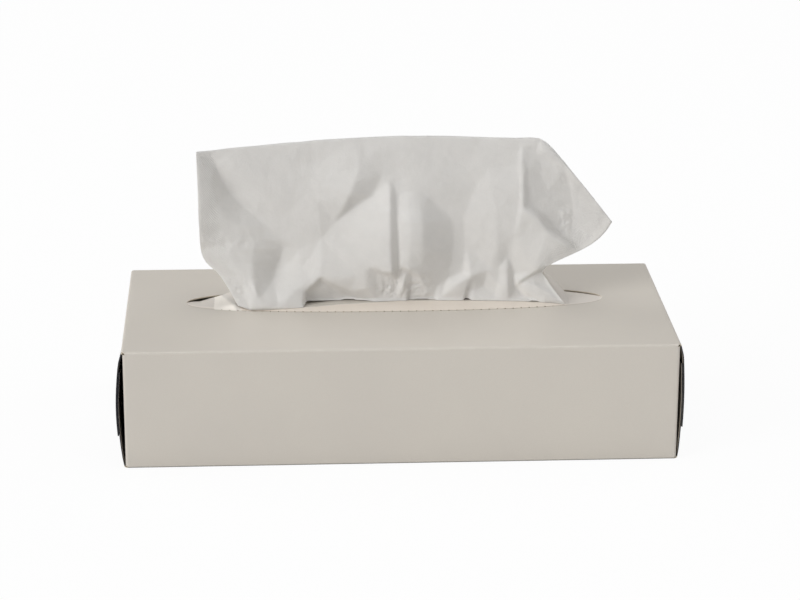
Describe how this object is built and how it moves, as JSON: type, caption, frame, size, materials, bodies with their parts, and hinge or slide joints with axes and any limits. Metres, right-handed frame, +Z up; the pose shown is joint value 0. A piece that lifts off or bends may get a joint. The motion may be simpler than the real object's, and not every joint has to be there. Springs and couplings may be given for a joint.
{
  "type": "tissue box",
  "caption": "Flat folded card box of facial tissues, with bulging glued ends, a lens-shaped dispensing slot with its bent card flap, and one doubled tissue standing up through the slot",
  "frame": {"origin": "centre of the carton's base, on the surface it stands on", "axes": "+X along the box's long side, to the right as seen from the front; +Y from the front panel to the back panel; +Z up"},
  "size_m": [0.2456, 0.112, 0.1304],
  "materials": {
    "card": "semi-gloss coated card, warm grey, with near-black navy ends",
    "tissue_paper": "soft matte off-white tissue"
  },
  "bodies": {
    "root": {"carton": "card", "tissue_stack": "tissue_paper", "raised_tissue": "tissue_paper"}
  },
  "joints": []
}
